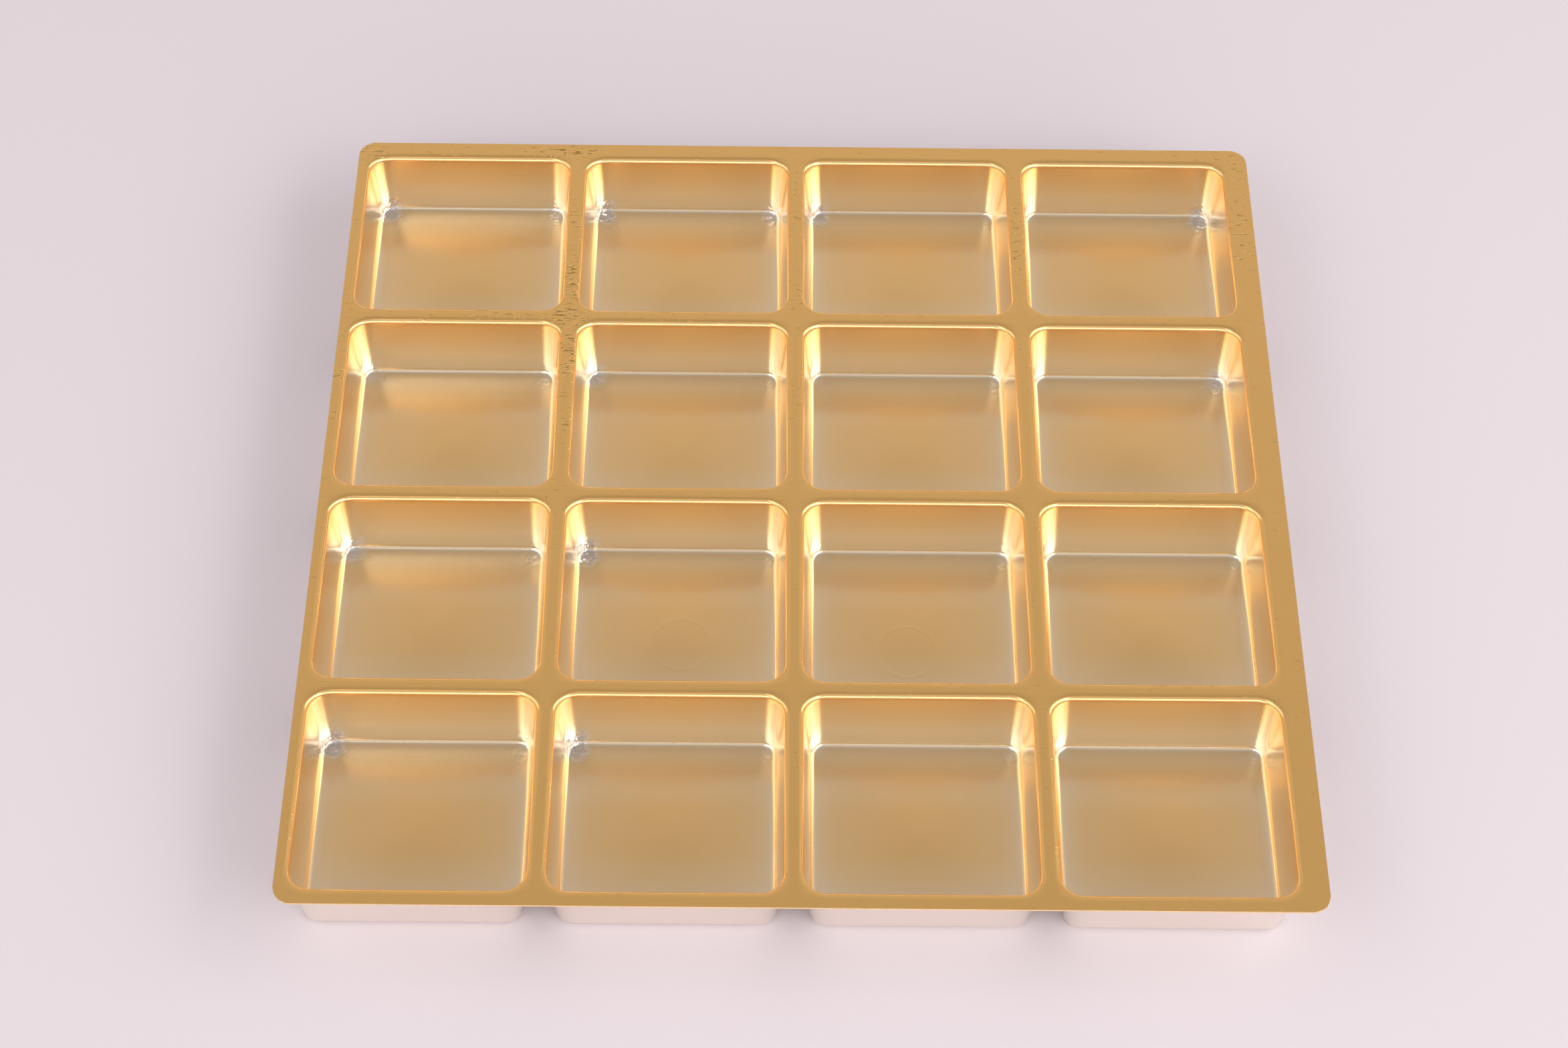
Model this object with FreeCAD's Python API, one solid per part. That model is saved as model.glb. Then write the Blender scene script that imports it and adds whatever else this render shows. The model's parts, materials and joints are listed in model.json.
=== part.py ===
import FreeCAD, Part
import math
import os

# A thermoformed tray: one sheet of film, drawn down into a grid of square pockets.
# Frame: +X across, +Y deep, +Z up. The origin is below the middle of the trimmed outline,
# on the plane that the undersides of the pocket floors stand on.
# Lengths are in millimetres and angles in degrees.

# The film, taken as one thickness all over.
film_thickness = 0.3

# The grid of pockets.
pockets_across = 4
pockets_deep = 4
pocket_pitch = 37.9
web_land = 1.2  # flat film left between the lips of two neighbouring pockets

# One pocket.
pocket_depth = 11.5  # top of the flange down to the top of the floor
wall_draft = 6.5  # how far each wall leans outwards from upright
lip_underside_radius = 0.6  # the rounded edge of the mould, under the film
floor_fold_radius = 0.8  # where the wall runs into the floor, on the upper side
floor_corner_radius = 1.5  # corners of the flat part of the floor

# Flat film from the outer lips to the trimmed edge. The cut is off the middle of the grid.
rim_land_left = 1.1
rim_land_right = 3.5
rim_land_front = 1.9
rim_land_back = 2.7
trim_corner_radius = 3.0

# What follows from those.
up = FreeCAD.Vector(0, 0, 1)
draft = math.radians(wall_draft)
tray_height = pocket_depth + film_thickness
lip_radius = lip_underside_radius + film_thickness
fold_underside_radius = floor_fold_radius + film_thickness
fold_centre_height = film_thickness + floor_fold_radius
lip_centre_height = tray_height - lip_radius
wall_rise = lip_centre_height - fold_centre_height + (lip_radius + floor_fold_radius) * math.sin(draft)
section_width = (lip_radius + floor_fold_radius) * math.cos(draft) + wall_rise * math.tan(draft)
lip_corner_radius = floor_corner_radius + section_width
lip_half_size = (pocket_pitch - web_land) / 2
corner_axis = lip_half_size - lip_corner_radius

lips_wide = pockets_across * pocket_pitch - web_land
lips_deep = pockets_deep * pocket_pitch - web_land
tray_width = rim_land_left + lips_wide + rim_land_right
tray_depth = rim_land_front + lips_deep + rim_land_back
grid_centre_x = (rim_land_left - rim_land_right) / 2
grid_centre_y = (rim_land_front - rim_land_back) / 2


def on_arc(centre, radius, angle):
    """The point of a circle in the XZ plane, with the angle measured from +X towards +Z."""
    return centre + FreeCAD.Vector(radius * math.cos(angle), 0, radius * math.sin(angle))


def arc(centre, radius, start, end):
    """An arc in the XZ plane from one angle to another."""
    places = [on_arc(centre, radius, angle) for angle in (start, (start + end) / 2, end)]
    return Part.Arc(*places).toShape()


def wall_section():
    """The film cut across a pocket's wall: fold, drafted wall and lip. X is measured from a corner's axis."""
    fold_centre = FreeCAD.Vector(floor_corner_radius, 0, fold_centre_height)
    lip_centre = FreeCAD.Vector(lip_corner_radius, 0, lip_centre_height)
    floor_side, land_side = math.radians(-90), math.radians(90)
    fold_end, lip_start = -draft, math.radians(180) - draft

    fold_top = arc(fold_centre, floor_fold_radius, floor_side, fold_end)
    fold_under = arc(fold_centre, fold_underside_radius, floor_side, fold_end)
    lip_top = arc(lip_centre, lip_radius, lip_start, land_side)
    lip_under = arc(lip_centre, lip_underside_radius, lip_start, land_side)

    def joined(first, second):
        return Part.LineSegment(first, second).toShape()

    wall_top = joined(
        on_arc(fold_centre, floor_fold_radius, fold_end), on_arc(lip_centre, lip_radius, lip_start)
    )
    wall_under = joined(
        on_arc(lip_centre, lip_underside_radius, lip_start),
        on_arc(fold_centre, fold_underside_radius, fold_end),
    )
    land_end = joined(
        on_arc(lip_centre, lip_radius, land_side),
        on_arc(lip_centre, lip_underside_radius, land_side),
    )
    floor_end = joined(
        on_arc(fold_centre, fold_underside_radius, floor_side),
        on_arc(fold_centre, floor_fold_radius, floor_side),
    )
    edges = [fold_top, wall_top, lip_top, land_end, lip_under, wall_under, fold_under, floor_end]
    return Part.Face(Part.Wire(Part.__sortEdges__(edges)))


def rounded_plate(left, front, right, back, radius, height):
    """A film-thick rectangular plate with rounded corners, its underside at the given height."""
    corners = [(right, back, 0), (left, back, 90), (left, front, 180), (right, front, 270)]
    inward = {0: (-1, -1), 90: (1, -1), 180: (1, 1), 270: (-1, 1)}
    edges = []
    ends = []
    for x, y, turn in corners:
        step_x, step_y = inward[turn]
        centre = FreeCAD.Vector(x + step_x * radius, y + step_y * radius, height)
        angles = [math.radians(turn + part) for part in (0, 45, 90)]
        points = [
            centre + FreeCAD.Vector(radius * math.cos(angle), radius * math.sin(angle), 0)
            for angle in angles
        ]
        edges.append(Part.Arc(*points).toShape())
        ends.append((points[0], points[-1]))
    for this, following in zip(ends, ends[1:] + ends[:1]):
        edges.append(Part.LineSegment(this[1], following[0]).toShape())
    outline = Part.Face(Part.Wire(Part.__sortEdges__(edges)))
    return outline.extrude(up * film_thickness)


def square_plate(half_size, radius, height):
    return rounded_plate(-half_size, -half_size, half_size, half_size, radius, height)


def make_pocket():
    """One pocket about the Z axis, from its floor up to where its lips meet the flat film."""
    section = wall_section()
    side = section.copy()
    side.translate(FreeCAD.Vector(corner_axis, -corner_axis, 0))
    side = side.extrude(FreeCAD.Vector(0, 2 * corner_axis, 0))
    corner = section.copy()
    corner.translate(FreeCAD.Vector(corner_axis, corner_axis, 0))
    corner = corner.revolve(FreeCAD.Vector(corner_axis, corner_axis, 0), up, 90)
    floor = square_plate(corner_axis + floor_corner_radius, floor_corner_radius, 0)

    pieces = []
    for quarter in range(4):
        for piece in (side, corner):
            turned = piece.copy()
            turned.rotate(FreeCAD.Vector(0, 0, 0), up, 90 * quarter)
            pieces.append(turned)
    return floor.multiFuse(pieces).removeSplitter()


def pocket_places():
    """The middle of every pocket, row by row from the front left."""
    first_x = grid_centre_x - (pockets_across - 1) * pocket_pitch / 2
    first_y = grid_centre_y - (pockets_deep - 1) * pocket_pitch / 2
    for row in range(pockets_deep):
        for column in range(pockets_across):
            yield FreeCAD.Vector(first_x + column * pocket_pitch, first_y + row * pocket_pitch, 0)


def make_flange():
    """The flat film on top, trimmed to its outline and open at every pocket."""
    underside = tray_height - film_thickness
    flange = rounded_plate(
        -tray_width / 2, -tray_depth / 2, tray_width / 2, tray_depth / 2, trim_corner_radius, underside
    )
    mouth = square_plate(lip_half_size, lip_corner_radius, underside)
    mouths = []
    for place in pocket_places():
        mouths.append(mouth.translated(place))
    return flange.cut(mouths)


def make_tray():
    pocket = make_pocket()
    pockets = [pocket.translated(place) for place in pocket_places()]
    tray = make_flange().multiFuse(pockets).removeSplitter()
    return tray.Solids[0] if len(tray.Solids) == 1 else tray


os.makedirs("parts", exist_ok=True)
tray = make_tray()
tray.exportStep("parts/tray.step")

box = tray.BoundBox
mouth_size = 2 * (lip_half_size - lip_radius * math.tan((math.radians(90) - draft) / 2))
print(f"tray: {len(tray.Solids)} solid, {len(tray.Faces)} faces, valid {tray.isValid()}")
print(f"size {box.XLength:.2f} x {box.YLength:.2f} x {box.ZLength:.2f} mm, lowest point {box.ZMin:.3f}")
print(f"volume {tray.Volume / 1000:.2f} cm3, pocket mouth {mouth_size:.2f} mm")
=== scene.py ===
import json
import math
import random

import bpy
import bmesh
from mathutils import Euler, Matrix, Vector, noise


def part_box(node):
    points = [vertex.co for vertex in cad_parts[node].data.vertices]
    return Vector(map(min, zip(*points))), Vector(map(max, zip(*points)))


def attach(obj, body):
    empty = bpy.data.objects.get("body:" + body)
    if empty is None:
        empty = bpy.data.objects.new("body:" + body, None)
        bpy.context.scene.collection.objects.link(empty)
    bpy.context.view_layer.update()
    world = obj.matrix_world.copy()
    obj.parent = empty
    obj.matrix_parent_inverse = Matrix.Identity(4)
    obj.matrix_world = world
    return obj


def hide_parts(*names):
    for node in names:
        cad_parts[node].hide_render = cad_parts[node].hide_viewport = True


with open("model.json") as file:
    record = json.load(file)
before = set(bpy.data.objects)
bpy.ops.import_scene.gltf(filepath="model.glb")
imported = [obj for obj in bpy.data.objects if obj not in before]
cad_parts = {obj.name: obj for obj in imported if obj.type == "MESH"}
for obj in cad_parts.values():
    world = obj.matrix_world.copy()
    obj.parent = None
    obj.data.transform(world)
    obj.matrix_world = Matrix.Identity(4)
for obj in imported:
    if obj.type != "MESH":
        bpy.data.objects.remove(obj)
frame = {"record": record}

mm = 0.001
random.seed(16)
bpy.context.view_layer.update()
trayLow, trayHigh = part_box("tray")
openings = [opening["box_m"] for opening in frame["record"]["physics"]["openings"]]
pocketCentres = [((a[0] + b[0]) / 2, (a[1] + b[1]) / 2) for a, b in openings]
columns = sorted({round(x, 5) for x, y in pocketCentres})
rows = sorted({round(y, 5) for x, y in pocketCentres}, reverse=True)  # the back row first
pitch = columns[1] - columns[0]
print(f"frame: {len(columns)} x {len(rows)} pockets at a pitch of {pitch / mm:.1f} mm")


def deselectAll():
    bpy.ops.object.select_all(action="DESELECT")


def makeActive(piece):
    deselectAll()
    piece.select_set(True)
    bpy.context.view_layer.objects.active = piece


def pickVerts(piece, wanted):
    bpy.ops.mesh.select_mode(type="VERT")
    bpy.ops.mesh.select_all(action="DESELECT")
    work = bmesh.from_edit_mesh(piece.data)
    for vert in work.verts:
        if wanted(vert):
            vert.select_set(True)
    work.select_flush(True)
    bmesh.update_edit_mesh(piece.data)
    return work


def pickEdges(piece, wanted):
    bpy.ops.mesh.select_mode(type="EDGE")
    bpy.ops.mesh.select_all(action="DESELECT")
    work = bmesh.from_edit_mesh(piece.data)
    for edge in work.edges:
        if wanted(edge):
            edge.select_set(True)
    bmesh.update_edit_mesh(piece.data)


def ease(start, end, value):
    share = min(1.0, max(0.0, (value - start) / (end - start)))
    return share * share * (3 - 2 * share)


# The way the film goes from a lip down into a pocket.
film = {
    "thickness": 0.3 * mm,
    "webLand": 1.2 * mm,  # flat film left between two lips
    "draft": math.radians(6.5),
    "lipRadius": 0.9 * mm,
    "foldRadius": 0.8 * mm,
    "floorCorner": 1.5 * mm,
    "trimCorner": 3.0 * mm,
    "sideCuts": 18,
    "cornerCuts": 8,
    "lipSteps": 5,
    "wallStops": (0.05, 0.11, 0.18, 0.28, 0.45, 0.7, 1.0),  # closer together under the lip
    "foldSteps": 5,
    "rimStep": 0.8 * mm,
    "trimCuts": 8,
    "smoothAngle": math.radians(50),
}
topHeight = trayHigh[2]
floorHeight = trayLow[2] + film["thickness"]
lipHalf = (pitch - film["webLand"]) / 2
bothRadii = film["lipRadius"] + film["foldRadius"]
wallRise = topHeight - floorHeight - bothRadii * (1 - math.sin(film["draft"]))
sectionWidth = bothRadii * math.cos(film["draft"]) + wallRise * math.tan(film["draft"])
lipCorner = film["floorCorner"] + sectionWidth
cornerAxis = lipHalf - lipCorner  # where the sides end and the rounded corners start
floorReach = cornerAxis + film["floorCorner"]
lipBottom = topHeight - film["lipRadius"] * (1 - math.sin(film["draft"]))
foldTop = lipBottom - wallRise


def sectionSteps():
    # how far in and down each ring lies from the one before
    draft, lip, fold = film["draft"], film["lipRadius"], film["foldRadius"]
    turn = math.pi / 2 - draft
    places = [(0.0, 0.0)]
    for step in range(1, film["lipSteps"] + 1):
        angle = turn * step / film["lipSteps"]
        places.append((lip * math.sin(angle), -lip * (1 - math.cos(angle))))
    inward, down = places[-1]
    for share in film["wallStops"]:
        places.append((inward + wallRise * math.tan(draft) * share, down - wallRise * share))
    inward, down = places[-1]
    for step in range(1, film["foldSteps"] + 1):
        angle = turn * (1 - step / film["foldSteps"])
        places.append((inward + fold * (math.sin(turn) - math.sin(angle)),
                       down - fold * (math.cos(angle) - math.cos(turn))))
    return [(b[0] - a[0], b[1] - a[1]) for a, b in zip(places, places[1:])]


def makePocket():
    # one pocket about the Z axis, drawn down ring by ring from its mouth
    deselectAll()
    bpy.ops.mesh.primitive_plane_add(size=2 * lipHalf, location=(0, 0, topHeight))
    pocket = bpy.context.object
    bpy.ops.object.transform_apply(location=True, rotation=False, scale=False)
    bpy.ops.object.mode_set(mode="EDIT")
    bpy.ops.mesh.select_all(action="SELECT")
    bpy.ops.mesh.delete(type="ONLY_FACE")
    bpy.ops.mesh.select_mode(type="VERT")
    bpy.ops.mesh.select_all(action="SELECT")
    bpy.ops.mesh.bevel(offset=lipCorner, segments=film["cornerCuts"], affect="VERTICES", profile=0.5)
    pickEdges(pocket, lambda edge: edge.calc_length() > cornerAxis)
    bpy.ops.mesh.subdivide(number_cuts=film["sideCuts"] - 1)
    bpy.ops.mesh.select_all(action="SELECT")
    bpy.ops.mesh.edge_face_add()
    bpy.ops.mesh.select_mode(type="FACE")
    bpy.ops.mesh.select_all(action="SELECT")
    for inward, rise in sectionSteps():
        bpy.ops.mesh.inset(thickness=inward, depth=rise, use_even_offset=True)
    bpy.ops.mesh.delete(type="ONLY_FACE")
    # the floor is an even grid whose corners sit in the pocket's corners
    work = pickVerts(pocket, lambda vert: vert.co.z < floorHeight + 0.001 * mm)
    corner = max((vert for vert in work.verts if vert.select), key=lambda vert: vert.co.x + vert.co.y)
    work.select_history.clear()
    work.select_history.add(corner)
    bpy.ops.mesh.fill_grid(span=film["sideCuts"] + film["cornerCuts"], use_interp_simple=True)
    bpy.ops.object.mode_set(mode="OBJECT")
    return pocket


def addWeb(pocket):
    # the flat film round the mouth, out to the middle of the webs
    deselectAll()
    bpy.ops.mesh.primitive_plane_add(size=pitch, location=(0, 0, topHeight + film["webLand"]))
    web = bpy.context.object
    bpy.ops.object.transform_apply(location=True, rotation=False, scale=False)
    bpy.ops.object.mode_set(mode="EDIT")
    bpy.ops.mesh.select_all(action="SELECT")
    bpy.ops.mesh.delete(type="ONLY_FACE")
    bpy.ops.mesh.select_all(action="SELECT")
    bpy.ops.mesh.subdivide(number_cuts=film["sideCuts"] + film["cornerCuts"] - 1)
    bpy.ops.object.mode_set(mode="OBJECT")
    makeActive(pocket)
    web.select_set(True)
    bpy.ops.object.join()
    bpy.ops.object.mode_set(mode="EDIT")
    pickEdges(pocket, lambda edge: len(edge.link_faces) < 2)
    bpy.ops.mesh.bridge_edge_loops(number_cuts=1, interpolation="LINEAR")
    # it was bridged from above the mouth, and is now laid level with it
    pickVerts(pocket, lambda vert: vert.co.z > topHeight + 0.001 * mm)
    bpy.ops.transform.resize(value=(1, 1, 0), center_override=(0, 0, topHeight))
    bpy.ops.mesh.select_all(action="SELECT")
    bpy.ops.mesh.normals_make_consistent(inside=False)
    if sum(face.normal.z for face in bmesh.from_edit_mesh(pocket.data).faces) < 0:
        bpy.ops.mesh.flip_normals()
    bpy.ops.object.mode_set(mode="OBJECT")


def layPockets(pocket):
    copies = []
    for x, y in pocketCentres:
        copy = pocket.copy()
        copy.data = pocket.data.copy()
        copy.location = (x, y, 0)
        bpy.context.collection.objects.link(copy)
        copies.append(copy)
    bpy.data.objects.remove(pocket)
    makeActive(copies[0])
    for copy in copies:
        copy.select_set(True)
    bpy.ops.object.transform_apply(location=True, rotation=False, scale=False)
    bpy.ops.object.join()
    sheet = bpy.context.object
    bpy.ops.object.mode_set(mode="EDIT")
    bpy.ops.mesh.select_all(action="SELECT")
    bpy.ops.mesh.remove_doubles(threshold=0.01 * mm)
    bpy.ops.object.mode_set(mode="OBJECT")
    return sheet


def addRims(sheet):
    # the outer edges of the webs go out to the trimmed outline
    half = pitch / 2
    sides = [
        (0, columns[0] - half, trayLow[0]),
        (0, columns[-1] + half, trayHigh[0]),
        (1, rows[-1] - half, trayLow[1]),
        (1, rows[0] + half, trayHigh[1]),
    ]
    bpy.ops.object.mode_set(mode="EDIT")
    for axis, place, end in sides:
        cuts = max(1, round(abs(end - place) / film["rimStep"]))
        step = Vector((0, 0, 0))
        step[axis] = (end - place) / cuts
        for _ in range(cuts):
            pickVerts(sheet, lambda vert: abs(vert.co[axis] - place) < 0.001 * mm)
            bpy.ops.mesh.extrude_region_move(TRANSFORM_OT_translate={"value": step})
            place += step[axis]
    bpy.ops.object.mode_set(mode="OBJECT")


def trimCorners(sheet):
    radius, cuts = film["trimCorner"], film["trimCuts"]
    bpy.ops.object.mode_set(mode="EDIT")
    for x, toRight in ((trayLow[0] + radius, -1), (trayHigh[0] - radius, 1)):
        for y, toBack in ((trayLow[1] + radius, -1), (trayHigh[1] - radius, 1)):
            for cut in range(cuts):
                angle = math.pi / 2 * (cut + 0.5) / cuts
                outward = Vector((toRight * math.cos(angle), toBack * math.sin(angle), 0))
                bpy.ops.mesh.select_all(action="SELECT")
                bpy.ops.mesh.bisect(plane_co=Vector((x, y, topHeight)) + outward * radius,
                                    plane_no=outward, clear_outer=True)
    bpy.ops.object.mode_set(mode="OBJECT")


def pocketPlace(spot):
    # the nearest pocket, and where the spot is from its middle
    column = min(range(len(columns)), key=lambda i: abs(columns[i] - spot.x))
    row = min(range(len(rows)), key=lambda i: abs(rows[i] - spot.y))
    return row, column, spot.x - columns[column], spot.y - rows[row]


# Thin film never stays quite flat once it is out of the mould.
warp = {
    "crown": 0.62 * mm,  # how high a floor springs up in its middle
    "crownSpread": 0.25,
    "tent": 0.45,  # share of the crown that is four flat slopes, not a dome
    "tilt": 0.1 * mm,
    "wallBow": (0.02 * mm, 0.07 * mm, 0.14 * mm, 0.15 * mm),  # by column, from the left
    "bowSpread": 0.35,
    "bowPeak": 0.4,  # how far down the wall it bows most
    "flange": 0.05 * mm,
    "flangeWave": 19 * mm,
    "crumple": 0.22 * mm,
    "crumpleSize": 0.9 * mm,
    "crumpleReach": 3.2 * mm,
    "crumpleQuiet": (0.1, 0.35),
}
# (row from the back, column from the left, side, end): how badly that corner crumpled
crumpled = {
    (0, 0, "left", "back"): 0.75, (0, 0, "right", "back"): 0.4,
    (0, 1, "left", "back"): 1.0, (0, 1, "right", "back"): 0.45,
    (0, 2, "left", "back"): 0.6, (0, 3, "right", "back"): 1.0,
    (1, 1, "left", "back"): 0.5, (1, 3, "right", "back"): 0.5,
    (2, 1, "left", "back"): 0.95, (2, 0, "left", "back"): 0.5,
    (3, 0, "left", "back"): 0.85, (3, 1, "left", "back"): 0.85,
}


def settleCrumples():
    levels = {}
    for row in range(len(rows)):
        for column in range(len(columns)):
            for side in ("left", "right"):
                for end in ("front", "back"):
                    quiet = random.uniform(*warp["crumpleQuiet"])
                    levels[row, column, side, end] = crumpled.get((row, column, side, end), quiet)
    return levels


def crumpleAt(levels, vert):
    # 0 away from the floor's corners, up to 1 in a badly crumpled one
    row, column, x, y = pocketPlace(vert.co)
    corner = Vector((floorReach - 0.6 * mm, floorReach - 0.6 * mm, floorHeight + 0.5 * mm))
    away = (Vector((abs(x), abs(y), vert.co.z)) - corner).length
    if away > warp["crumpleReach"]:
        return 0.0
    level = levels[row, column, "left" if x < 0 else "right", "back" if y > 0 else "front"]
    return level * (1 - ease(0.3, 1.0, away / warp["crumpleReach"]))


def warpFilm(sheet, levels):
    places = [(row, column) for row in range(len(rows)) for column in range(len(columns))]
    spread, tilt = warp["crownSpread"], warp["tilt"]
    crowns = {place: (warp["crown"] * (1 + spread * random.uniform(-1, 1)),
                      tilt * random.uniform(-1, 1), tilt * random.uniform(-1, 1)) for place in places}
    bows = {(place, side): warp["wallBow"][place[1]] * (1 + warp["bowSpread"] * random.uniform(-1, 1))
            for place in places for side in ("left", "right", "front", "back")}
    for vert in sheet.data.vertices:
        row, column, x, y = pocketPlace(vert.co)
        z = vert.co.z
        widest = max(abs(x), abs(y))
        crumple = crumpleAt(levels, vert)
        if z < floorHeight + 0.01 * mm and widest < floorReach + 0.01 * mm:
            crown, tiltX, tiltY = crowns[row, column]
            shareX, shareY = min(1, abs(x) / floorReach), min(1, abs(y) / floorReach)
            dome = (math.cos(shareX * math.pi / 2) * math.cos(shareY * math.pi / 2)) ** 1.7
            slopes = max(0.0, 1 - (shareX ** 5 + shareY ** 5) ** 0.2)
            lift = dome * (1 - warp["tent"]) + slopes * warp["tent"]
            vert.co.z += crown * lift + dome * (tiltX * x + tiltY * y) / floorReach
        elif foldTop < z < lipBottom:
            down = (lipBottom - z) / wallRise
            side = ("left" if x < 0 else "right") if abs(x) > abs(y) else ("front" if y < 0 else "back")
            along = min(abs(x), abs(y)) / cornerAxis
            bow = bows[(row, column), side] * math.cos(min(1, along) * math.pi / 2)
            bow *= down / warp["bowPeak"] * math.exp(1 - down / warp["bowPeak"]) * (1 - down)
            axis = 0 if abs(x) > abs(y) else 1
            vert.co[axis] += math.copysign(bow, (x, y)[axis])
        elif z > topHeight - 0.01 * mm:
            wave = noise.noise(Vector((vert.co.x, vert.co.y, 0)) / warp["flangeWave"])
            vert.co.z += warp["flange"] * wave
        if crumple > 0:
            shove = noise.noise_vector(vert.co / warp["crumpleSize"]) * warp["crumple"] * crumple
            shove.z = max(shove.z, floorHeight - vert.co.z)
            vert.co += shove


# How much gold is left: 1 where the film stayed flat, less where it was drawn, 0 where it went clear.
coat = {
    "floorMiddle": 0.88,
    "floorSides": ((0.0, 0.5), (1.5, 0.69), (3.5, 0.78), (6.5, 0.83), (13.0, 0.88)),  # mm in, left
    "floorEnds": ((0.0, 0.36), (2.0, 0.46), (4.5, 0.62), (8.0, 0.76), (12.0, 0.88)),
    "wallEnds": ((0.0, 1.0), (0.08, 0.56), (0.3, 0.34), (0.6, 0.2), (0.88, 0.15), (1.0, 0.36)),
    "wallSides": ((0.0, 1.0), (0.08, 0.56), (0.3, 0.4), (0.6, 0.3), (0.88, 0.26), (1.0, 0.5)),
    "wallCorner": ((0.0, 1.0), (0.08, 0.5), (0.4, 0.3), (0.75, 0.14), (1.0, 0.08)),
    "crumple": 0.02,
}


def readStops(stops, value):
    for (start, first), (end, second) in zip(stops, stops[1:]):
        if value < end:
            return first + (second - first) * ease(start, end, value)
    return stops[-1][1]


def coatAt(vert, crumple):
    row, column, x, y = pocketPlace(vert.co)
    insideX, insideY = (floorReach - abs(x)) / mm, (floorReach - abs(y)) / mm
    down = (topHeight - vert.co.z) / (topHeight - floorHeight)
    cornerShare = min(max(0.0, abs(x) - cornerAxis), max(0.0, abs(y) - cornerAxis)) / film["floorCorner"]
    if down < 0.01 and min(insideX, insideY) < 0:
        return 1.0
    if min(insideX, insideY) < 0.01:
        left = readStops(coat["wallEnds" if insideY < insideX else "wallSides"], down)
        left += (readStops(coat["wallCorner"], down) - left) * ease(0, 1, cornerShare)
    else:
        left = readStops(coat["floorSides"], insideX) * readStops(coat["floorEnds"], insideY)
        left /= coat["floorMiddle"]
    return left + (coat["crumple"] - left) * ease(0.1, 0.6, crumple)


# Where the film puckered as it was drawn: middle x and y, reach in x and y (mm), strength (of the dents and of their
# painted shade)
puckers = [
    (-75.0, 75.0, 5.0, 4.0, 0.6), (-42.0, 75.8, 11.0, 2.0, 0.9), (-62.0, 75.5, 9.0, 2.0, 0.3),
    (-39.1, 44.0, 2.0, 9.0, 1.0), (-39.1, 58.0, 2.0, 8.0, 0.5), (-39.1, 37.5, 4.0, 4.0, 1.0),
    (-50.0, 37.5, 10.0, 1.8, 0.55), (-66.0, 37.5, 9.0, 1.8, 0.35), (-26.0, 37.5, 12.0, 1.8, 0.4),
    (-39.1, 29.0, 2.0, 8.0, 1.0), (-39.1, 15.0, 2.0, 9.0, 0.6), (-39.1, 3.0, 2.0, 6.0, 0.3),
    (-1.2, 62.0, 2.0, 10.0, 0.4), (-1.2, 44.0, 2.0, 6.0, 0.55), (-1.2, 22.0, 2.0, 14.0, 0.35),
    (36.7, 56.0, 2.0, 15.0, 0.6), (-77.0, 22.0, 2.0, 12.0, 0.5), (-76.5, 44.0, 2.0, 10.0, 0.3),
    (74.5, 58.0, 3.0, 12.0, 0.55), (73.0, 75.0, 5.0, 3.0, 0.5), (75.0, -76.0, 4.0, 4.0, 0.15), (-76.0, -76.0, 3.0, 3.0, 0.15),
]


def puckerAt(vert):
    if vert.co.z < topHeight - 0.5 * mm:
        return 0.0
    most = 0.06
    for x, y, reachX, reachY, strength in puckers:
        away = math.hypot((vert.co.x / mm - x) / reachX, (vert.co.y / mm - y) / reachY)
        most = max(most, strength * (1 - ease(0.35, 1.2, away)))
    return most


def paintFilm(sheet, levels, crumples):
    layers = {name: sheet.data.attributes.new(name, "FLOAT", "POINT") for name in ("coat", "crumple", "pucker")}
    verts = sheet.data.vertices
    layers["crumple"].data.foreach_set("value", crumples)
    layers["coat"].data.foreach_set("value", [coatAt(vert, crumples[vert.index]) for vert in verts])
    layers["pucker"].data.foreach_set("value", [puckerAt(vert) for vert in verts])


def addNode(tree, kind, **values):
    node = tree.nodes.new(kind)
    for name, value in values.items():
        setattr(node, name, value)
    return node


def plug(tree, source, target):
    # a socket takes a link from another socket, or a plain value
    if isinstance(source, bpy.types.NodeSocket):
        tree.links.new(source, target)
    else:
        target.default_value = source


def calc(tree, operation, *parts):
    node = addNode(tree, "ShaderNodeMath", operation=operation)
    for part, socket in zip(parts, node.inputs):
        plug(tree, part, socket)
    return node.outputs[0]


def fit(tree, value, low, high, newLow=0.0, newHigh=1.0):
    node = addNode(tree, "ShaderNodeMapRange", interpolation_type="SMOOTHSTEP")
    for part, socket in zip((value, low, high, newLow, newHigh), node.inputs):
        plug(tree, part, socket)
    return node.outputs[0]


def mixColours(tree, share, first, second):
    node = addNode(tree, "ShaderNodeMix", data_type="RGBA")
    colours = [socket for socket in node.inputs if socket.type == "RGBA"]
    plug(tree, share, node.inputs[0])
    plug(tree, first, colours[0])
    plug(tree, second, colours[1])
    return [socket for socket in node.outputs if socket.type == "RGBA"][0]


def objectPlace(tree, scale=(1, 1, 1), centre=(0, 0, 0)):
    place = addNode(tree, "ShaderNodeTexCoord")
    mapping = addNode(tree, "ShaderNodeMapping", vector_type="POINT")
    tree.links.new(place.outputs["Object"], mapping.inputs["Vector"])
    mapping.inputs["Location"].default_value = [-c * s for c, s in zip(centre, scale)]
    mapping.inputs["Scale"].default_value = scale
    return mapping.outputs["Vector"]


def newGroup(name, inputs, outputs):
    tree = bpy.data.node_groups.new(name, "ShaderNodeTree")
    for label, kind, value in inputs:
        socket = tree.interface.new_socket(name=label, in_out="INPUT", socket_type=kind)
        socket.default_value = value
    for label, kind in outputs:
        tree.interface.new_socket(name=label, in_out="OUTPUT", socket_type=kind)
    return tree, addNode(tree, "NodeGroupInput").outputs, addNode(tree, "NodeGroupOutput").inputs


def useGroup(tree, group, **values):
    node = addNode(tree, "ShaderNodeGroup", node_tree=group)
    for name, value in values.items():
        plug(tree, value, node.inputs[name])
    return node.outputs


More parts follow.
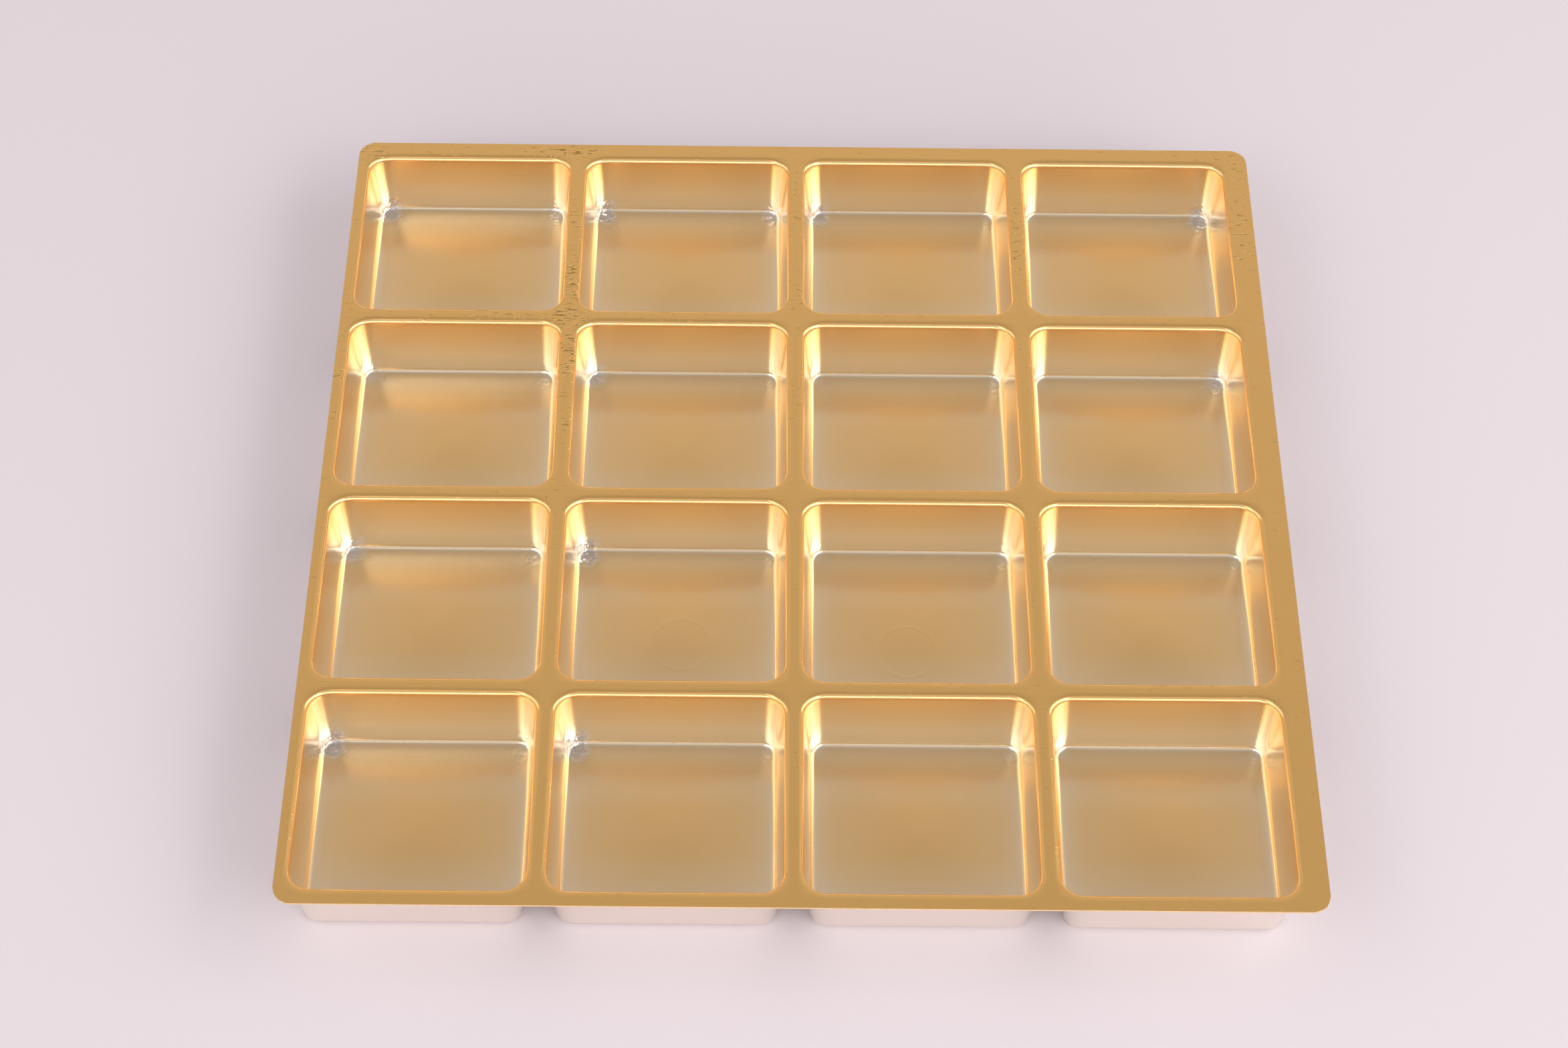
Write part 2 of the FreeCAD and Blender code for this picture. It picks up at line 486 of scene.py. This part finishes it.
def drawnCoatGroup():
    # gold where it is thick, pale where it is drawn thin, clear film where it has gone
    colour, number = "NodeSocketColor", "NodeSocketFloat"
    tree, given, out = newGroup(
        "drawnCoat",
        [("Left", number, 1.0), ("Gold", colour, (1, 1, 1, 1)), ("Pale", colour, (1, 1, 1, 1)),
         ("Clear", colour, (1, 1, 1, 1)), ("PaleAt", number, 0.25), ("ClearAt", number, 0.1), ("Mottle", number, 0.05)],
        [("Colour", colour), ("Cover", number)],
    )
    cloud = addNode(tree, "ShaderNodeTexNoise")
    plug(tree, objectPlace(tree), cloud.inputs["Vector"])
    plug(tree, 180.0, cloud.inputs["Scale"])
    shift = calc(tree, "MULTIPLY", calc(tree, "SUBTRACT", cloud.outputs[0], 0.5), given["Mottle"])
    left = calc(tree, "ADD", given["Left"], shift)
    pale = mixColours(tree, calc(tree, "DIVIDE", left, given["PaleAt"]), given["Clear"], given["Pale"])
    over = calc(tree, "DIVIDE", calc(tree, "SUBTRACT", left, given["PaleAt"]),
                calc(tree, "SUBTRACT", 1.0, given["PaleAt"]))
    plug(tree, mixColours(tree, over, pale, given["Gold"]), out["Colour"])
    plug(tree, fit(tree, left, 0.0, given["ClearAt"]), out["Cover"])
    return tree


def filmGrainGroup():
    # the rolled film's fine streaks, and its soft unevenness
    number = "NodeSocketFloat"
    tree, given, out = newGroup(
        "filmGrain",
        [("Streaks", number, 0.5), ("Soft", number, 0.5), ("Pits", number, 0.5)],
        [("Height", number)],
    )
    streaks = addNode(tree, "ShaderNodeTexNoise")
    plug(tree, objectPlace(tree, scale=(700, 5000, 1500)), streaks.inputs["Vector"])
    plug(tree, 1.0, streaks.inputs["Scale"])
    soft = addNode(tree, "ShaderNodeTexNoise")
    plug(tree, objectPlace(tree), soft.inputs["Vector"])
    plug(tree, 420.0, soft.inputs["Scale"])
    cells = addNode(tree, "ShaderNodeTexVoronoi")
    plug(tree, objectPlace(tree), cells.inputs["Vector"])
    plug(tree, 260.0, cells.inputs["Scale"])
    pits = fit(tree, cells.outputs["Distance"], 0.02, 0.05, -1.0, 0.0)
    height = calc(tree, "MULTIPLY", streaks.outputs[0], given["Streaks"])
    height = calc(tree, "ADD", height, calc(tree, "MULTIPLY", soft.outputs[0], given["Soft"]))
    plug(tree, calc(tree, "ADD", height, calc(tree, "MULTIPLY", pits, given["Pits"])), out["Height"])
    return tree


def puckersGroup():
    # short creases that lie across the webs, more or fewer by the mask; Shade is how much painted shade darkens their
    # colour
    number = "NodeSocketFloat"
    tree, given, out = newGroup("drawPuckers", [("Mask", number, 0.0)],
                                [("Height", number), ("Shade", number)])
    creases = addNode(tree, "ShaderNodeTexNoise")
    plug(tree, objectPlace(tree, scale=(620, 2300, 600)), creases.inputs["Vector"])
    plug(tree, 1.0, creases.inputs["Scale"])
    plug(tree, 3.0, creases.inputs["Detail"])
    plug(tree, 0.6, creases.inputs["Distortion"])
    limit = calc(tree, "SUBTRACT", 0.66, calc(tree, "MULTIPLY", given["Mask"], 0.14))
    dents = fit(tree, creases.outputs[0], limit, calc(tree, "ADD", limit, 0.1), 0.0, -1.0)
    depth = calc(tree, "MULTIPLY", dents, calc(tree, "POWER", given["Mask"], 0.5))
    plug(tree, depth, out["Height"])
    plug(tree, calc(tree, "MULTIPLY", depth, -1.0), out["Shade"])
    return tree


def crumpleGroup():
    # small sharp facets where the film went slack in a corner
    number = "NodeSocketFloat"
    tree, given, out = newGroup("crumpledFilm", [("Mask", number, 0.0)], [("Height", number)])
    warpNoise = addNode(tree, "ShaderNodeTexNoise")
    plug(tree, objectPlace(tree), warpNoise.inputs["Vector"])
    plug(tree, 700.0, warpNoise.inputs["Scale"])
    bent = addNode(tree, "ShaderNodeVectorMath", operation="MULTIPLY_ADD")
    plug(tree, warpNoise.outputs["Color"], bent.inputs[0])
    plug(tree, (0.0006, 0.0006, 0.0006), bent.inputs[1])
    plug(tree, objectPlace(tree), bent.inputs[2])
    facets = addNode(tree, "ShaderNodeTexVoronoi")
    plug(tree, bent.outputs[0], facets.inputs["Vector"])
    plug(tree, 1250.0, facets.inputs["Scale"])
    plug(tree, calc(tree, "MULTIPLY", facets.outputs["Distance"], given["Mask"]), out["Height"])
    return tree


def ringMarkGroup():
    # the faint ring that a vent in the mould left on a floor
    number = "NodeSocketFloat"
    tree, given, out = newGroup(
        "ringMark",
        [("Centre", "NodeSocketVector", (0, 0, 0)), ("Radius", number, 0.005), ("Width", number, 0.0004)],
        [("Height", number)],
    )
    away = addNode(tree, "ShaderNodeVectorMath", operation="DISTANCE")
    flat = addNode(tree, "ShaderNodeVectorMath", operation="MULTIPLY")
    plug(tree, objectPlace(tree), flat.inputs[0])
    plug(tree, (1, 1, 0), flat.inputs[1])
    plug(tree, flat.outputs[0], away.inputs[0])
    plug(tree, given["Centre"], away.inputs[1])
    off = calc(tree, "ABSOLUTE", calc(tree, "SUBTRACT", away.outputs["Value"], given["Radius"]))
    plug(tree, fit(tree, off, 0.0, given["Width"], 1.0, 0.0), out["Height"])
    return tree


finish = {
    "gold": (0.93, 0.55, 0.18, 1),
    "pale": (0.91, 0.77, 0.56, 1),
    "clear": (0.93, 0.86, 0.80, 1),
    "backGold": (0.90, 0.80, 0.68, 1),
    "backPale": (0.93, 0.86, 0.79, 1),
    "paleAt": 0.25,
    "clearAt": 0.1,  # the film starts to clear below this
    "clearMirror": 0.7,  # how much clear film still mirrors
    "roughness": 0.22,
    "clearRoughness": 0.26,
    "crumpleGloss": 0.6,
    "backRoughness": 0.24,
    "grainHeight": 0.012 * mm,
    "puckerHeight": 0.09 * mm,
    "crumpleHeight": 0.16 * mm,
    "ringHeight": 0.012 * mm,
    "rings": [(columns[1] + 1.0 * mm, rows[2] - 3.0 * mm), (columns[2] - 1.0 * mm, rows[2] - 4.0 * mm)],
    "ringRadius": 4.8 * mm,
    "ringWidth": 0.5 * mm,
    "paintedCreaseShade": (0.30, 0.19, 0.05, 1),  # painted shade: the creases' gold is darkened toward this dark olive in place of the dark they mirror
    "paintedShadeShare": 0.7,
    "edge": (0.62, 0.42, 0.22, 1),
}


def newMaterial(name):
    material = bpy.data.materials.new(name)
    material.use_nodes = True
    tree = material.node_tree
    tree.nodes.clear()
    shader = addNode(tree, "ShaderNodeBsdfPrincipled")
    out = addNode(tree, "ShaderNodeOutputMaterial")
    tree.links.new(shader.outputs[0], out.inputs["Surface"])
    return material, tree, shader.inputs


def readLayer(tree, name):
    return addNode(tree, "ShaderNodeAttribute", attribute_name=name).outputs["Fac"]


def addBump(tree, height, distance, normal=None):
    bump = addNode(tree, "ShaderNodeBump")
    plug(tree, height, bump.inputs["Height"])
    plug(tree, distance, bump.inputs["Distance"])
    if normal is not None:
        plug(tree, normal, bump.inputs["Normal"])
    return bump.outputs["Normal"]


def filmMaterial(name, groups, goldColour, paleColour, roughness, grain):
    material, tree, shader = newMaterial(name)
    drawn = useGroup(tree, groups["coat"], Left=readLayer(tree, "coat"), Gold=goldColour, Pale=paleColour,
                     Clear=finish["clear"], PaleAt=finish["paleAt"], ClearAt=finish["clearAt"])
    pucker = useGroup(tree, groups["pucker"], Mask=readLayer(tree, "pucker"))
    # painted shade: the pucker mask darkens the base colour toward a dark olive in the creases
    shade = calc(tree, "MULTIPLY", pucker["Shade"], finish["paintedShadeShare"])
    plug(tree, mixColours(tree, shade, drawn["Colour"], finish["paintedCreaseShade"]), shader["Base Color"])
    mirror = finish["clearMirror"]
    plug(tree, calc(tree, "MULTIPLY_ADD", drawn["Cover"], 1 - mirror, mirror), shader["Alpha"])
    smoothest = finish["clearRoughness"]
    rough = calc(tree, "MULTIPLY_ADD", drawn["Cover"], roughness - smoothest, smoothest)
    glossier = calc(tree, "MULTIPLY_ADD", readLayer(tree, "crumple"), -finish["crumpleGloss"], 1.0)
    plug(tree, calc(tree, "MULTIPLY", rough, glossier), shader["Roughness"])
    shader["Metallic"].default_value = 1.0
    fine = useGroup(tree, groups["grain"], **grain)
    normal = addBump(tree, fine["Height"], finish["grainHeight"])
    normal = addBump(tree, pucker["Height"], finish["puckerHeight"], normal)
    crumple = useGroup(tree, groups["crumple"], Mask=readLayer(tree, "crumple"))
    normal = addBump(tree, crumple["Height"], finish["crumpleHeight"], normal)
    rings = 0.0
    for x, y in finish["rings"]:
        ring = useGroup(tree, groups["ring"], Centre=(x, y, 0), Radius=finish["ringRadius"],
                        Width=finish["ringWidth"])
        rings = calc(tree, "ADD", rings, ring["Height"])
    plug(tree, addBump(tree, rings, finish["ringHeight"], normal), shader["Normal"])
    return material


def edgeMaterial(groups):
    material, tree, shader = newMaterial("trimmedEdge")
    shader["Roughness"].default_value = 0.35
    cloud = addNode(tree, "ShaderNodeTexNoise")
    plug(tree, objectPlace(tree), cloud.inputs["Vector"])
    plug(tree, 1800.0, cloud.inputs["Scale"])
    paler = tuple(min(1, part * 1.5) for part in finish["edge"])
    plug(tree, mixColours(tree, cloud.outputs[0], finish["edge"], paler), shader["Base Color"])
    fine = useGroup(tree, groups["grain"], Streaks=1.0, Soft=1.0, Pits=0.0)
    plug(tree, addBump(tree, fine["Height"], finish["grainHeight"]), shader["Normal"])
    return material


def thicken(sheet):
    shell = sheet.modifiers.new("film", "SOLIDIFY")
    shell.thickness = film["thickness"]
    shell.offset = -1
    shell.use_even_offset = True
    shell.material_offset = 1
    shell.material_offset_rim = 2
    makeActive(sheet)
    bpy.ops.object.modifier_apply(modifier="film")
    bpy.ops.object.shade_smooth_by_angle(angle=film["smoothAngle"])


def makeTray():
    pocket = makePocket()
    addWeb(pocket)
    sheet = layPockets(pocket)
    sheet.name = sheet.data.name = "formedFilm"
    addRims(sheet)
    trimCorners(sheet)
    print(f"sheet: {len(sheet.data.vertices)} points")
    levels = settleCrumples()
    crumples = [crumpleAt(levels, vert) for vert in sheet.data.vertices]
    paintFilm(sheet, levels, crumples)
    warpFilm(sheet, levels)
    print("film warped and painted")
    groups = {"coat": drawnCoatGroup(), "grain": filmGrainGroup(), "pucker": puckersGroup(),
              "crumple": crumpleGroup(), "ring": ringMarkGroup()}
    front = filmMaterial("goldCoat", groups, finish["gold"], finish["pale"], finish["roughness"],
                         {"Streaks": 0.35, "Soft": 0.8, "Pits": 0.6})
    back = filmMaterial("filmUnderside", groups, finish["backGold"], finish["backPale"],
                        finish["backRoughness"], {"Streaks": 0.3, "Soft": 0.8, "Pits": 0.3})
    sheet.data.materials.clear()
    for material in (front, back, edgeMaterial(groups)):
        sheet.data.materials.append(material)
    thicken(sheet)
    print(f"tray: {sum(len(face.vertices) - 2 for face in sheet.data.polygons)} triangles")
    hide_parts("tray")
    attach(sheet, "root")


camera = {
    "place": (-0.00516, -0.32388, 0.41835),
    "turn": (37.978, -0.522, 0.268),
    "lens": 74.3,
    "sensor": 36.0,
}


def addCamera():
    data = bpy.data.cameras.new("view")
    data.sensor_width = camera["sensor"]
    data.lens = camera["lens"]
    data.clip_start = 10 * mm
    view = bpy.data.objects.new("view", data)
    bpy.context.collection.objects.link(view)
    view.location = camera["place"]
    view.rotation_euler = Euler([math.radians(angle) for angle in camera["turn"]])
    bpy.context.scene.camera = view


studio = {
    "table": (0.80, 0.72, 0.747, 1),
    "tableSize": 8.0,
    "room": (0.96, 0.93, 0.95, 1),
    "roomStops": [(0.0, 0.60), (0.5, 0.65), (0.70, 0.71), (0.86, 0.56), (0.95, 0.50), (1.0, 0.48)],
    "lamps": {  # power, width and height, place
        "frontLeft": (1.3, (0.6, 0.7), (-0.72, -0.66, 0.52)),
        "frontRight": (3.2, (0.6, 0.7), (0.76, -0.66, 0.52)),
        "fill": (0.62, (0.4, 0.65), (-0.44, -0.58, 0.75)),
        "near": (0.04, (0.34, 0.12), (0.07, -0.46, 0.60)),
        "lowFront": (3.4, (1.4, 0.3), (0.15, -1.0, 0.20)),
        "right": (3.6, (0.9, 0.6), (0.95, 0.0, 0.60)),
        "left": (1.4, (0.9, 0.6), (-0.95, 0.0, 0.60)),
    },
}


def addTable():
    deselectAll()
    bpy.ops.mesh.primitive_plane_add(size=studio["tableSize"], location=(0, 0, trayLow[2] - 0.02 * mm))
    table = bpy.context.object
    table.name = "table"
    material, tree, shader = newMaterial("tableTop")
    shader["Roughness"].default_value = 0.6
    cloud = addNode(tree, "ShaderNodeTexNoise")
    plug(tree, objectPlace(tree), cloud.inputs["Vector"])
    plug(tree, 6.0, cloud.inputs["Scale"])
    paler = tuple(part * 0.985 for part in studio["table"][:3]) + (1,)
    plug(tree, mixColours(tree, cloud.outputs[0], studio["table"], paler), shader["Base Color"])
    table.data.materials.append(material)


def addLamps():
    for name, (power, size, place) in studio["lamps"].items():
        data = bpy.data.lights.new(name, "AREA")
        data.shape = "RECTANGLE"
        data.size, data.size_y = size
        data.energy = power
        lamp = bpy.data.objects.new(name, data)
        bpy.context.collection.objects.link(lamp)
        lamp.location = place
        lamp.rotation_euler = (-lamp.location).to_track_quat("-Z", "Y").to_euler()


def addRoom():
    # a pale room, a little dimmer overhead
    world = bpy.data.worlds.new("room")
    bpy.context.scene.world = world
    world.use_nodes = True
    tree = world.node_tree
    way = addNode(tree, "ShaderNodeTexCoord")
    parts = addNode(tree, "ShaderNodeSeparateXYZ")
    tree.links.new(way.outputs["Generated"], parts.inputs[0])
    ramp = addNode(tree, "ShaderNodeValToRGB")
    stops = ramp.color_ramp.elements
    while len(stops) < len(studio["roomStops"]):
        stops.new(0.5)
    for stop, (height, level) in zip(stops, studio["roomStops"]):
        stop.position = height
        stop.color = (level, level, level, 1)
    tree.links.new(parts.outputs["Z"], ramp.inputs["Fac"])
    back = tree.nodes["Background"]
    back.inputs["Color"].default_value = studio["room"]
    tree.links.new(ramp.outputs["Color"], back.inputs["Strength"])


addCamera()
makeTray()
addTable()
addLamps()
addRoom()
bpy.context.scene.view_settings.view_transform = "Standard"
print("studio set")
